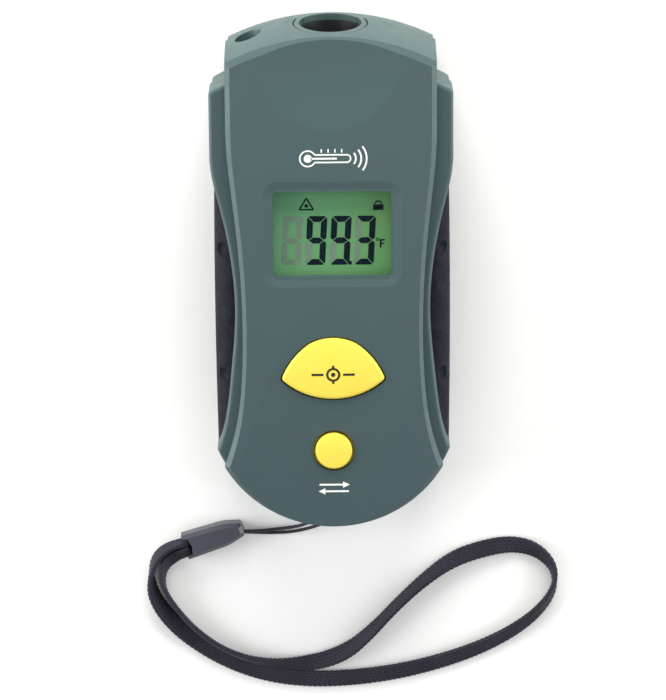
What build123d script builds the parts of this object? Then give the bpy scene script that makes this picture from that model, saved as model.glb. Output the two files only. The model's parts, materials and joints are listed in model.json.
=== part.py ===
from build123d import *
import os
from math import cos, pi, radians, sin, tan

# Pocket infrared thermometer, lying on its back with its display up.
# Millimetres.  +X to the right of the display, +Y towards the lens, +Z out of the display.
# The origin is on the back face, at the middle of the case's footprint.

# ---------------------------------------------------------------- driving dimensions
NOSE_Y = 57.15           # tip of the rounded nose end
TAIL_Y = -57.3
FACE_Z = 27.0            # display face
WING_Z = 23.5            # top of the lower side wings
PARTING_Z = 13.0         # where the front and rear shells meet
WALL = 2.0
REAR_INSET = 0.4         # the rear shell is this much smaller all round
FACE_BEVEL = 1.1
WING_BEVEL = 0.8
REAR_ROUND = 4.0

NOSE_HALF = 23.3         # half width of the nose block
SHOULDER = (27.0, 42.2)
SHOULDER_FOOT = (27.0, 28.0)
TAIL_R = 28.3
TAIL_CENTRE_Y = TAIL_Y + TAIL_R
HIP_X = 26.2

DRUM_Y = 4.5             # the nose end is turned about a vertical line here
DRUM_R = NOSE_Y - DRUM_Y
DRUM_TOP_R = DRUM_R - 2.6
DRUM_BOTTOM_R = DRUM_R - 1.4

GRIP_X = 26.3            # outer face of the rubber grips
GRIP_Y = (-39.0, 21.0)
GRIP_Z = (3.0, 21.4)
GRIP_ROUND = 5.0
DIMPLE_YS = [-22.9, -8.7, 6.0]
DIMPLE_X = 25.6          # centre of the ball that sinks each dimple in the grip's shoulder
DIMPLE_Z = 21.3
DIMPLE_R = 2.2

LENS_Z = 16.6            # height of the optical axis
RING_R = 8.3
RING_SETBACK = 0.12
RING_GROOVE = 0.25       # open groove between the ring and the case
RING_GROOVE_Y = 55.2
HOOD_R = 6.9
CAN_R = 4.1
CAN_Y = 36.0             # flange of the sensor can
LENS_Y = 43.9            # inner face of the infrared lens
IR_LENS_R = 5.2
LASER_X = -18.2
LASER_R = 2.5
LASER_HOLE_R = 2.9

WINDOW = (26.2, 19.4)    # opening in the face
WINDOW_CORNER = 0.7
WINDOW_Y = 10.65
GLASS = (29.4, 22.2)     # clear window under the opening
GLASS_Z = (24.0, 24.98)
PANEL = (28.8, 22.4, 2.2)
PANEL_MID_Z = 22.6
LIGHT_GUIDE = (27.6, 18.2, 2.6)
LIGHT_GUIDE_MID_Z = 20.0
FRAME_OUTSIDE = (32.0, 25.4)
FRAME_INSIDE = (29.6, 23.0)
FRAME_HEIGHT = 7.6
ZEBRA = (26.0, 1.6, 5.26)
ZEBRA_OFFSET_Y = 10.3
ZEBRA_MID_Z = 18.83

MODE_Y = -39.3
MODE_R = 4.1
MODE_HOLE_R = 4.8
MODE_TOP_Z = 27.3
MODE_DOME_R = 30.0
MEASURE_TIP = (11.6, -22.55)
MEASURE_SIDE = (8.9, -17.8)
MEASURE_CROWN = (5.2, -14.35)
MEASURE_TOP_Y = -13.05
MEASURE_BOTTOM_Y = -27.15
MEASURE_STEM_Y = -20.0
MEASURE_TOP_Z = 27.7
BUTTON_GAP = 0.35
FLANGE_Z = (23.6, 24.9)
FLANGE_LIP = 1.3         # how far the hidden flange reaches under the face
SWITCH_HEIGHT = 3.6
SWITCH_WELL = (1.78, 2.0)    # radius and floor height of the plunger's well
PLUNGER_R = 1.7
PLUNGER_LIFT = 2.7       # height of the plunger's foot above the board
STEM_FOOT_Z = 20.9

PCB = (35.2, 77.0)
PCB_Y = -5.0
PCB_Z = (15.0, 16.2)

CELL_R = 5.25            # AAA cell
CELL_LENGTH = 43.3
CELL_NUB = 1.0
SPRING_R = 2.6
SPRING_WIRE_R = 0.28
CELL_X = 5.4
CELL_Z = 7.3
BAY = (22.8, 50.6)       # battery bay
BAY_Y = -20.5
BAY_ROOF_Z = 12.9

DOOR_AXIS_Y = 5.9        # battery door pivot
DOOR_AXIS_Z = 0.9
DOOR_HALF = 13.3
DOOR_TAIL_Y = -47.3
DOOR_Z = (0.15, 1.65)
DOOR_PIN_R = 0.7
DOOR_GAP = 0.3
DOOR_SWING_R = 1.5       # room round the pivot for the plate's end

SCREW_SPOTS = [(21.0, 30.0), (-21.0, 30.0), (20.5, -36.0), (-20.5, -36.0)]
SCREW_R = 1.1
SCREW_HEAD_R = 2.2
BOSS_R = 2.7

EYELET_Z = (4.2, 9.0)
EYELET_BAR_Y = -56.0
EYELET_BAR_R = 0.8
STRING_D = 0.8
BAND_D = 2.0             # tube whose section is that of the flat braid

os.makedirs("parts", exist_ok=True)


def save(builder, name):
    """Labels a finished piece and writes its STEP file."""
    builder.part.label = name
    export_step(builder.part, f"parts/{name}.step")


# ---------------------------------------------------------------- outlines in plan
def case_face(inset=0.0):
    """Case outline, drawn this far in: nose block, shoulder, waist, hip and round tail."""
    nose = NOSE_HALF - inset
    foot = (SHOULDER_FOOT[0] - inset, SHOULDER_FOOT[1])
    waist = [(25.0 - inset, 16.3), (22.9 - inset, 6.0), (21.8 - inset, -8.5), (22.9 - inset, -22.4)]
    hip_x, tail_r = HIP_X - inset, TAIL_R - inset
    hip = (hip_x, TAIL_CENTRE_Y - (tail_r**2 - hip_x**2) ** 0.5)
    tail_mid = (tail_r * sin(radians(40)), TAIL_CENTRE_Y - tail_r * cos(radians(40)))
    with BuildSketch() as face:
        with BuildLine():
            Polyline((0, 60), (nose, 60), (nose, 44.0 - inset), (foot[0], SHOULDER[1] - inset), foot)
            Spline(foot, *waist, hip, tangents=[(0, -1), (0.4, -1)])
            ThreePointArc(hip, tail_mid, (0, TAIL_Y + inset))
            mirror(about=Plane.YZ)
        make_face()
    return face.sketch


def ledge_face(inset=0.0):
    """Everything to the right of the raised middle of the face, whose edge is drawn this far in."""
    top = (NOSE_HALF - inset, 34.0)
    edge = [(22.5, 22.0), (21.0, 8.0), (20.1, -9.0), (20.4, -22.5), (22.3, -36.0), (27.3, -50.0)]
    edge = [(x - inset, y) for x, y in edge]
    with BuildSketch() as face:
        with BuildLine():
            Spline(top, *edge, tangents=[(0, -1), (0.4, -1)])
            Polyline(edge[-1], (32, -50), (32, 45), (top[0], 45), top)
        make_face()
    return face.sketch


# Measure button: a low arch over a shallow bow, with rounded tips.
with BuildSketch() as measure_outline:
    with BuildLine():
        tip_x, tip_y = MEASURE_TIP
        side_x, side_y = MEASURE_SIDE
        crown_x, crown_y = MEASURE_CROWN
        ThreePointArc((-tip_x, tip_y), (-side_x, side_y), (-crown_x, crown_y))
        ThreePointArc((-crown_x, crown_y), (0, MEASURE_TOP_Y), (crown_x, crown_y))
        ThreePointArc((crown_x, crown_y), (side_x, side_y), (tip_x, tip_y))
        ThreePointArc((tip_x, tip_y), (0, MEASURE_BOTTOM_Y), (-tip_x, tip_y))
    make_face()
    fillet(measure_outline.vertices().group_by(Axis.X)[0], radius=0.9)
    fillet(measure_outline.vertices().group_by(Axis.X)[-1], radius=0.9)

CASE = case_face()
REAR_CASE = case_face(REAR_INSET)
INNER_CASE = case_face(WALL)
REAR_INNER = case_face(WALL + REAR_INSET + 0.6)
LEDGE = ledge_face()
INNER_LEDGE = ledge_face(WALL - 0.5)
MEASURE = measure_outline.sketch

# ---------------------------------------------------------------- tool solids
# What lies in front of the barrel-shaped nose end.
with BuildPart() as nose_space:
    with Locations((0, 50, 13.5)):
        Box(80, 60, 40)
    with BuildSketch(Plane.XZ.offset(-DRUM_Y)):
        with BuildLine():
            ThreePointArc((DRUM_BOTTOM_R - 0.4, -3), (DRUM_R, 13.6), (DRUM_TOP_R, FACE_Z))
            Polyline((DRUM_TOP_R, FACE_Z), (DRUM_TOP_R - 1, 35), (0, 35), (0, -3), (DRUM_BOTTOM_R - 0.4, -3))
        make_face()
    revolve(axis=Axis((0, DRUM_Y, 0), (0, 0, 1)), mode=Mode.SUBTRACT)

# The same a little further in, for pieces set back from the nose.
nose_setback = nose_space.part.moved(Location((0, -0.45, 0)))
hood_setback = nose_space.part.moved(Location((0, -1.5, 0)))


def on_optical_axis(y, x=0.0):
    """Plane across the optical direction at this distance along the case, facing the nose."""
    return Plane((x, y, LENS_Z), x_dir=(-1, 0, 0), z_dir=(0, 1, 0))


# ---------------------------------------------------------------- front shell
def on_wing_rim(edge):
    """True for the outer top edges of the wings."""
    start, middle = edge @ 0, edge @ 0.5
    level = abs(start.Z - WING_Z) < 0.01 and abs(middle.Z - WING_Z) < 0.01
    outside = abs(middle.X) > 21 if edge.geom_type == GeomType.BSPLINE else abs(middle.X) > 24.3
    return level and outside and middle.Y < 45


with BuildPart() as front_outer:
    with BuildSketch(Plane.XY.offset(PARTING_Z)):
        add(CASE)
    extrude(amount=FACE_Z - PARTING_Z)
    with BuildSketch(Plane.XY.offset(WING_Z)):
        add(LEDGE)
        mirror(about=Plane.YZ)
    extrude(amount=10, mode=Mode.SUBTRACT)
    add(nose_space.part, mode=Mode.SUBTRACT)
    uprights = front_outer.edges().filter_by(Axis.Z)
    fillet(uprights.filter_by_position(Axis.Y, SHOULDER[1] - 0.1, SHOULDER[1] + 0.1), radius=1.2)
    chamfer(front_outer.faces().sort_by(Axis.Z)[-1].edges(), length=FACE_BEVEL)
    fillet(front_outer.edges().filter_by(on_wing_rim), radius=WING_BEVEL)

with BuildPart() as front_shell:
    add(front_outer.part)
    # thumb scoop behind the nose: a very large sphere just breaks the face in a circle
    scoop_r, scoop_depth = 15.0, 0.7
    sphere_r = (scoop_r**2 + scoop_depth**2) / (2 * scoop_depth)
    with Locations((0, 49, FACE_Z - scoop_depth + sphere_r)):
        Sphere(sphere_r, mode=Mode.SUBTRACT)
    # long scoop under the buttons: a large cylinder that dips towards the tail
    dip, dip_r = 0.022, 280.0
    with BuildSketch(Plane((0, -8.9, FACE_Z + dip_r), x_dir=(1, 0, 0), z_dir=(0, -1, -dip))):
        Circle(dip_r)
    extrude(amount=60, mode=Mode.SUBTRACT)
    # shallow dish round the display
    with BuildSketch(Plane.XY.offset(FACE_Z + 0.05)):
        with Locations((0, WINDOW_Y)):
            RectangleRounded(31.6, 24.4, 4.0)
    with BuildSketch(Plane.XY.offset(FACE_Z - 0.4)):
        with Locations((0, WINDOW_Y)):
            RectangleRounded(27.6, 20.5, 2.2)
    loft(mode=Mode.SUBTRACT)
    # hollow: a low cavity under the wings and a deeper one under the raised face
    with BuildSketch(Plane.XY.offset(PARTING_Z)):
        add(INNER_CASE)
        with Locations((0, 60)):
            Rectangle(70, 23, mode=Mode.SUBTRACT)
    extrude(amount=WING_Z - WALL - PARTING_Z, mode=Mode.SUBTRACT)
    with BuildSketch(Plane.XY.offset(PARTING_Z)):
        add(INNER_CASE)
        with Locations((0, 60)):
            Rectangle(70, 23, mode=Mode.SUBTRACT)
        add(INNER_LEDGE, mode=Mode.SUBTRACT)
        mirror(INNER_LEDGE, about=Plane.YZ, mode=Mode.SUBTRACT)
    extrude(amount=FACE_Z - WALL - PARTING_Z, mode=Mode.SUBTRACT)
    # display opening and button openings
    with BuildSketch(Plane.XY.offset(20)):
        with Locations((0, WINDOW_Y)):
            RectangleRounded(*WINDOW, WINDOW_CORNER)
        with Locations((0, MODE_Y)):
            Circle(MODE_HOLE_R)
        offset(MEASURE, amount=BUTTON_GAP, mode=Mode.ADD)
    extrude(amount=10, mode=Mode.SUBTRACT)
    # lens and laser openings in the nose wall
    with BuildSketch(on_optical_axis(46)):
        Circle(RING_R + 0.05)
        with Locations((-LASER_X, 0)):
            Circle(LASER_HOLE_R)
    extrude(amount=20, mode=Mode.SUBTRACT)
    # screw bosses hang from the wings
    with BuildSketch(Plane.XY.offset(PARTING_Z)):
        with Locations(*SCREW_SPOTS):
            Circle(BOSS_R)
    extrude(amount=WING_Z - WALL - PARTING_Z + 0.2)
    with BuildSketch(Plane.XY.offset(PARTING_Z)):
        with Locations(*SCREW_SPOTS):
            Circle(SCREW_R + 0.02)
    extrude(amount=6.6, mode=Mode.SUBTRACT)
save(front_shell, "front_shell")


# ---------------------------------------------------------------- rear shell
with BuildPart() as rear_outer:
    with BuildSketch():
        add(REAR_CASE)
    extrude(amount=PARTING_Z)
    add(nose_setback, mode=Mode.SUBTRACT)
    uprights = rear_outer.edges().filter_by(Axis.Z)
    fillet(uprights.filter_by_position(Axis.Y, SHOULDER[1] - 1.0, SHOULDER[1] + 0.1), radius=1.2)
    fillet(rear_outer.faces().sort_by(Axis.Z)[0].edges(), radius=REAR_ROUND)

with BuildPart() as eyelet_block:
    add(rear_outer.part)
    with Locations((0, -54.6, (1 + PARTING_Z) / 2)):
        Box(11, 7.0, PARTING_Z - 1, mode=Mode.INTERSECT)

pad_z = 3.4              # thickened back round the battery door
bay_floor_wall = 1.3
with BuildPart() as rear_shell:
    add(rear_outer.part)
    with BuildSketch(Plane.XY.offset(WALL)):
        add(REAR_INNER)
        with Locations((0, 60)):
            Rectangle(70, 25, mode=Mode.SUBTRACT)
    extrude(amount=PARTING_Z, mode=Mode.SUBTRACT)
    # battery bay walls, the pad round the door, and the block that carries the strap eyelet
    with Locations((0, BAY_Y, (WALL + BAY_ROOF_Z + bay_floor_wall) / 2)):
        Box(BAY[0] + 2 * bay_floor_wall, BAY[1] + 2 * bay_floor_wall, BAY_ROOF_Z + bay_floor_wall - WALL)
    with Locations((0, BAY_Y, (1 + pad_z) / 2)):
        Box(31.4, 59.5, pad_z - 1)
    add(eyelet_block.part)
    with BuildSketch(Plane.XY.offset(1)):
        with Locations(*SCREW_SPOTS):
            Circle(BOSS_R)
    extrude(amount=PARTING_Z - 1)
    # the battery bay itself, open to the back
    with Locations((0, BAY_Y, BAY_ROOF_Z / 2 - 1)):
        Box(BAY[0], BAY[1], BAY_ROOF_Z + 2, mode=Mode.SUBTRACT)
    # recess of the door, with a rounded end that the door swings in
    recess_tail = DOOR_TAIL_Y - DOOR_GAP
    with Locations((0, (recess_tail + DOOR_AXIS_Y - 0.2) / 2, 0)):
        Box(2 * (DOOR_HALF + DOOR_GAP), DOOR_AXIS_Y - 0.2 - recess_tail, 2 * (DOOR_Z[1] + 0.15),
            mode=Mode.SUBTRACT)
    with Locations((0, recess_tail - 0.8, 0)):
        Box(6.8, 2.4, 2.8, mode=Mode.SUBTRACT)
    with Locations(Location((0, DOOR_AXIS_Y, DOOR_AXIS_Z), (0, 90, 0))):
        Cylinder(DOOR_SWING_R, 2 * (DOOR_HALF + DOOR_GAP), mode=Mode.SUBTRACT)
        Cylinder(DOOR_PIN_R + 0.05, 2 * (DOOR_HALF + 1.4), mode=Mode.SUBTRACT)
    # finger scallop at the tail end of the door
    with Locations((0, DOOR_TAIL_Y - 1.6, -6.6)):
        Sphere(8.0, mode=Mode.SUBTRACT)
    # counterbored screw holes
    with Locations(*[(x, y, 0) for x, y in SCREW_SPOTS]):
        with Locations((0, 0, 1.4)):
            Cylinder(SCREW_HEAD_R + 0.25, 2.8, mode=Mode.SUBTRACT)
        with Locations((0, 0, 8)):
            Cylinder(SCREW_R + 0.15, 16, mode=Mode.SUBTRACT)
    # lower part of the lens opening
    with BuildSketch(on_optical_axis(46)):
        Circle(RING_R + 0.05)
    extrude(amount=20, mode=Mode.SUBTRACT)
    # strap eyelet: a pocket in the tail with an upright bar across it
    eyelet_mid_z = sum(EYELET_Z) / 2
    with Locations((0, -57.0, eyelet_mid_z)):
        Box(6.4, 7.2, EYELET_Z[1] - EYELET_Z[0], mode=Mode.SUBTRACT)
    with Locations((0, EYELET_BAR_Y, eyelet_mid_z)):
        Cylinder(EYELET_BAR_R, EYELET_Z[1] - EYELET_Z[0] + 0.4)
save(rear_shell, "rear_shell")


# ---------------------------------------------------------------- rubber side grips
with BuildPart() as grip_right:
    with BuildSketch(Plane.XY.offset(GRIP_Z[0])):
        with BuildLine():
            Polyline((20, GRIP_Y[0]), (GRIP_X - 0.2, GRIP_Y[0]))
            ThreePointArc((GRIP_X - 0.2, GRIP_Y[0]), (GRIP_X + 0.1, -9), (GRIP_X - 0.1, GRIP_Y[1]))
            Polyline((GRIP_X - 0.1, GRIP_Y[1]), (20, GRIP_Y[1]), (20, GRIP_Y[0]))
        make_face()
    extrude(amount=GRIP_Z[1] - GRIP_Z[0])
    outer_face = grip_right.faces().sort_by(Axis.X)[-1]
    fillet(outer_face.edges().filter_by_position(Axis.Z, GRIP_Z[0] - 0.1, GRIP_Z[0] + 0.1), radius=GRIP_ROUND)
    outer_face = grip_right.faces().sort_by(Axis.X)[-1]
    fillet(outer_face.edges().group_by(Axis.Z)[-1], radius=GRIP_ROUND)
    for y in DIMPLE_YS:
        with Locations((DIMPLE_X, y, DIMPLE_Z)):
            Sphere(DIMPLE_R, mode=Mode.SUBTRACT)
    add(front_outer.part, mode=Mode.SUBTRACT)
    add(rear_outer.part, mode=Mode.SUBTRACT)
save(grip_right, "grip_right")

with BuildPart() as grip_left:
    mirror(grip_right.part, about=Plane.YZ)
save(grip_left, "grip_left")


# ---------------------------------------------------------------- display
with BuildPart() as lcd_window:
    with BuildSketch(Plane.XY.offset(GLASS_Z[0])):
        with Locations((0, WINDOW_Y)):
            RectangleRounded(*GLASS, 1.5)
    extrude(amount=GLASS_Z[1] - GLASS_Z[0])
save(lcd_window, "lcd_window")

with BuildPart() as lcd_panel:
    with Locations((0, WINDOW_Y, PANEL_MID_Z)):
        Box(*PANEL)
save(lcd_panel, "lcd_panel")

with BuildPart() as lcd_backlight:
    with Locations((0, WINDOW_Y, LIGHT_GUIDE_MID_Z)):
        Box(*LIGHT_GUIDE)
    # strip of light sources along its underside
    with Locations((0, WINDOW_Y, 18.5)):
        Box(24.0, 2.0, 0.6)
save(lcd_backlight, "lcd_backlight")

with BuildPart() as lcd_frame:
    with BuildSketch(Plane.XY.offset(PCB_Z[1])):
        with Locations((0, WINDOW_Y)):
            Rectangle(*FRAME_OUTSIDE)
            Rectangle(*FRAME_INSIDE, mode=Mode.SUBTRACT)
    extrude(amount=FRAME_HEIGHT)
save(lcd_frame, "lcd_frame")

with BuildPart() as zebra_strips:
    with Locations((0, WINDOW_Y, ZEBRA_MID_Z)):
        with GridLocations(0, 2 * ZEBRA_OFFSET_Y, 1, 2):
            Box(*ZEBRA)
save(zebra_strips, "zebra_strips")


# ---------------------------------------------------------------- circuit board
with BuildPart() as main_pcb:
    with BuildSketch(Plane.XY.offset(PCB_Z[0])):
        with Locations((0, PCB_Y)):
            RectangleRounded(*PCB, 2.5)
        with Locations((-LASER_X, 34.5), (LASER_X, 34.5)):
            Rectangle(7.0, 4.0, mode=Mode.SUBTRACT)
        with Locations((-15.0, -41.0), (15.0, -41.0)):
            Circle(1.2, mode=Mode.SUBTRACT)
    extrude(amount=PCB_Z[1] - PCB_Z[0])
save(main_pcb, "main_pcb")

with BuildPart() as controller_chip:
    with Locations((0, 28.2, PCB_Z[1] + 0.75)):
        Box(7.0, 7.0, 1.3)
    for side in (-1, 1):
        with Locations((side * 3.85, 28.2, PCB_Z[1] + 0.2)):
            with GridLocations(0, 0.8, 1, 8):
                Box(0.9, 0.35, 0.4)
save(controller_chip, "controller_chip")

with BuildPart() as board_components:
    with Locations((-11.5, 29.5, PCB_Z[1] + 0.4)):
        with GridLocations(2.6, 2.2, 3, 3):
            Box(1.6, 0.9, 0.8)
    with Locations((11.0, 29.0, PCB_Z[1] + 1.0)):
        Cylinder(2.0, 2.0)
    with Locations((13.5, -8.0, PCB_Z[1] + 0.4)):
        with GridLocations(1.8, 3.0, 2, 3):
            Box(0.9, 1.6, 0.8)
save(board_components, "board_components")


# ---------------------------------------------------------------- buttons and their switches
def tact_switch(x, y, name):
    """Square switch body with a well for its plunger, soldered to the board."""
    base = PCB_Z[1]
    well_r, well_floor = SWITCH_WELL
    with BuildPart() as switch:
        with BuildSketch(Plane.XY.offset(base)):
            with Locations((x, y)):
                RectangleRounded(6.0, 6.0, 0.5)
        extrude(amount=SWITCH_HEIGHT)
        with BuildSketch(Plane.XY.offset(base + well_floor)):
            with Locations((x, y)):
                Circle(well_r)
        extrude(amount=SWITCH_HEIGHT, mode=Mode.SUBTRACT)
        for side in (-1, 1):
            with Locations((x + side * 3.4, y, base + 0.15)):
                with GridLocations(0, 4.4, 1, 2):
                    Box(1.0, 0.7, 0.3)
    save(switch, name)


def switch_plunger(x, y, name):
    """Round plunger that rides in the switch's well and carries the button."""
    with BuildPart() as plunger:
        with BuildSketch(Plane.XY.offset(PCB_Z[1] + PLUNGER_LIFT)):
            with Locations((x, y)):
                Circle(PLUNGER_R)
        extrude(amount=STEM_FOOT_Z - PCB_Z[1] - PLUNGER_LIFT)
    save(plunger, name)


tact_switch(0, MEASURE_STEM_Y, "measure_switch")
switch_plunger(0, MEASURE_STEM_Y, "measure_plunger")
tact_switch(0, MODE_Y, "mode_switch")
switch_plunger(0, MODE_Y, "mode_plunger")

with BuildPart() as measure_button:
    with BuildSketch(Plane.XY.offset(FLANGE_Z[0])):
        add(MEASURE)
    extrude(amount=MEASURE_TOP_Z - FLANGE_Z[0])
    with BuildSketch(Plane.XY.offset(FLANGE_Z[0])):
        offset(MEASURE, amount=FLANGE_LIP)
    extrude(amount=FLANGE_Z[1] - FLANGE_Z[0])
    with BuildSketch(Plane.XY.offset(STEM_FOOT_Z)):
        with Locations((0, MEASURE_STEM_Y)):
            Circle(2.2)
    extrude(amount=FLANGE_Z[0] - STEM_FOOT_Z + 0.2)
save(measure_button, "measure_button")

with BuildPart() as mode_button:
    with Locations((0, MODE_Y, (FLANGE_Z[0] + MODE_TOP_Z) / 2)):
        Cylinder(MODE_R, MODE_TOP_Z - FLANGE_Z[0])
    with Locations((0, MODE_Y, MODE_TOP_Z - MODE_DOME_R)):
        Sphere(MODE_DOME_R, mode=Mode.INTERSECT)
    fillet(mode_button.faces().sort_by(Axis.Z)[-1].edges(), radius=0.4)
    with BuildSketch(Plane.XY.offset(FLANGE_Z[0])):
        with Locations((0, MODE_Y)):
            Circle(MODE_HOLE_R + 1.1)
    extrude(amount=0.9)    # hidden flange
    with BuildSketch(Plane.XY.offset(STEM_FOOT_Z)):
        with Locations((0, MODE_Y)):
            Circle(2.0)
    extrude(amount=FLANGE_Z[0] - STEM_FOOT_Z + 0.2)
save(mode_button, "mode_button")


# ---------------------------------------------------------------- optics in the nose
with BuildPart() as aperture_ring:
    with BuildSketch(on_optical_axis(48.8)):
        Circle(RING_R)
        Circle(HOOD_R + 0.02, mode=Mode.SUBTRACT)
    extrude(amount=12)
    add(nose_space.part.moved(Location((0, -RING_SETBACK, 0))), mode=Mode.SUBTRACT)
    with BuildSketch(on_optical_axis(RING_GROOVE_Y)):
        Circle(RING_R + 1)
        Circle(RING_R - RING_GROOVE, mode=Mode.SUBTRACT)
    extrude(amount=3, mode=Mode.SUBTRACT)
save(aperture_ring, "aperture_ring")

with BuildPart() as lens_hood:
    with BuildSketch(on_optical_axis(45.0)):
        Circle(HOOD_R)
    extrude(amount=14)
    add(hood_setback, mode=Mode.SUBTRACT)
    with BuildSketch(on_optical_axis(44.0)):
        Circle(4.2)
    extrude(amount=4, mode=Mode.SUBTRACT)
    with BuildSketch(on_optical_axis(47.5)):
        Circle(4.4)
    with BuildSketch(on_optical_axis(57.5)):
        Circle(6.5)
    loft(mode=Mode.SUBTRACT)
save(lens_hood, "lens_hood")

with BuildPart() as sensor_holder:
    with Locations((0, 39.6, LENS_Z)):
        Box(16.0, 10.8, 15.6)
    with BuildSketch(on_optical_axis(CAN_Y)):
        Circle(CAN_R + 0.05)
    extrude(amount=20, mode=Mode.SUBTRACT)
    with BuildSketch(on_optical_axis(LENS_Y)):
        Circle(IR_LENS_R + 0.1)
    extrude(amount=3, mode=Mode.SUBTRACT)
    with BuildSketch(on_optical_axis(30)):
        Circle(2.6)
    extrude(amount=8, mode=Mode.SUBTRACT)
save(sensor_holder, "sensor_holder")

with BuildPart() as ir_lens:
    with BuildSketch(on_optical_axis(LENS_Y)):
        Circle(IR_LENS_R)
    extrude(amount=1.0)
    fillet(ir_lens.edges().group_by(Axis.Y)[-1], radius=0.4)
save(ir_lens, "ir_lens")

with BuildPart() as ir_sensor:
    with BuildSketch(on_optical_axis(CAN_Y)):
        Circle(CAN_R)
    extrude(amount=0.6)
    with BuildSketch(on_optical_axis(CAN_Y + 0.6)):
        Circle(CAN_R - 0.5)
    extrude(amount=4.0)
    # four legs
    with BuildSketch(on_optical_axis(CAN_Y)):
        with PolarLocations(1.9, 4, start_angle=45):
            Circle(0.22)
    extrude(amount=-2.2)
save(ir_sensor, "ir_sensor")

with BuildPart() as laser_module:
    with BuildSketch(on_optical_axis(36.5, LASER_X)):
        Circle(LASER_R)
    extrude(amount=14.3)
    with BuildSketch(on_optical_axis(50.8, LASER_X)):
        Circle(1.1)
    extrude(amount=-3.0, mode=Mode.SUBTRACT)
save(laser_module, "laser_module")

with BuildPart() as laser_window:
    with BuildSketch(on_optical_axis(50.8, LASER_X)):
        Circle(LASER_HOLE_R - 0.05)
    extrude(amount=0.6)
save(laser_window, "laser_window")


# ---------------------------------------------------------------- battery bay
def battery(x, nub_to_nose, name):
    """AAA cell lying along the case, with its positive nub at one end."""
    way = 1 if nub_to_nose else -1
    start_y = BAY_Y - way * (CELL_LENGTH + CELL_NUB) / 2
    plane = Plane((x, start_y, CELL_Z), x_dir=(-way, 0, 0), z_dir=(0, way, 0))
    with BuildPart() as cell:
        with BuildSketch(plane):
            Circle(CELL_R)
        extrude(amount=CELL_LENGTH)
        fillet(cell.edges(), radius=0.5)
        with BuildSketch(plane.offset(CELL_LENGTH - 0.1)):
            Circle(1.8)
        extrude(amount=CELL_NUB + 0.1)
    save(cell, name)


battery(-CELL_X, True, "battery_cell_1")
battery(CELL_X, False, "battery_cell_2")

BAY_ENDS = (BAY_Y - BAY[1] / 2, BAY_Y + BAY[1] / 2)
with BuildPart() as contact_plates:
    with Locations((-CELL_X, BAY_ENDS[1] - 0.25, CELL_Z), (CELL_X, BAY_ENDS[0] + 0.25, CELL_Z)):
        Box(8.6, 0.4, 8.6)
save(contact_plates, "contact_plates")


def contact_spring(x, end_y, way, name):
    """Helical contact spring between the end of the bay and a cell's flat end."""
    length = (BAY[1] - CELL_LENGTH - CELL_NUB) / 2 - 1.0
    with BuildPart() as coil:
        with BuildLine() as wire:
            Helix(pitch=length / 3, height=length, radius=SPRING_R, center=(x, end_y, CELL_Z),
                  direction=(0, way, 0))
        with BuildSketch(Plane(wire.line @ 0, z_dir=wire.line % 0)):
            Circle(SPRING_WIRE_R)
        sweep(path=wire.line, is_frenet=True)
    save(coil, name)


contact_spring(-CELL_X, BAY_ENDS[0] + 0.35, 1, "battery_spring_1")
contact_spring(CELL_X, BAY_ENDS[1] - 0.35, -1, "battery_spring_2")

with BuildPart() as battery_door:
    plate_end = DOOR_AXIS_Y - 0.2
    with Locations((0, (plate_end + DOOR_TAIL_Y) / 2, sum(DOOR_Z) / 2)):
        Box(2 * DOOR_HALF, plate_end - DOOR_TAIL_Y, DOOR_Z[1] - DOOR_Z[0])
    fillet(battery_door.edges().filter_by(Axis.Z).group_by(Axis.Y)[0], radius=1.2)
    with Locations((0, DOOR_TAIL_Y - 0.6, 0.75)):
        Box(6.0, 1.4, 1.1)
    # grooves under the thumb
    for i in range(4):
        with Locations((0, -38.0 + 2.2 * i, DOOR_Z[0])):
            Box(12.0 - 1.6 * i, 0.9, 0.7, mode=Mode.SUBTRACT)
    # pivot pins at the nose end
    for side in (-1, 1):
        with Locations(Location((side * (DOOR_HALF - 0.1), DOOR_AXIS_Y, DOOR_AXIS_Z), (0, 90, 0))):
            Cylinder(DOOR_PIN_R, 2.6)
save(battery_door, "battery_door")

with BuildPart() as case_screws:
    for x, y in SCREW_SPOTS:
        with Locations((x, y, 2.0)):
            Cylinder(SCREW_HEAD_R, 1.6)
        with Locations((x, y, 10.7)):
            Cylinder(SCREW_R, 16.2)
        with Locations((x, y, 1.4)):
            Box(0.6, 2.8, 0.9, mode=Mode.SUBTRACT)
            Box(2.8, 0.6, 0.9, mode=Mode.SUBTRACT)
save(case_screws, "case_screws")


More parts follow.
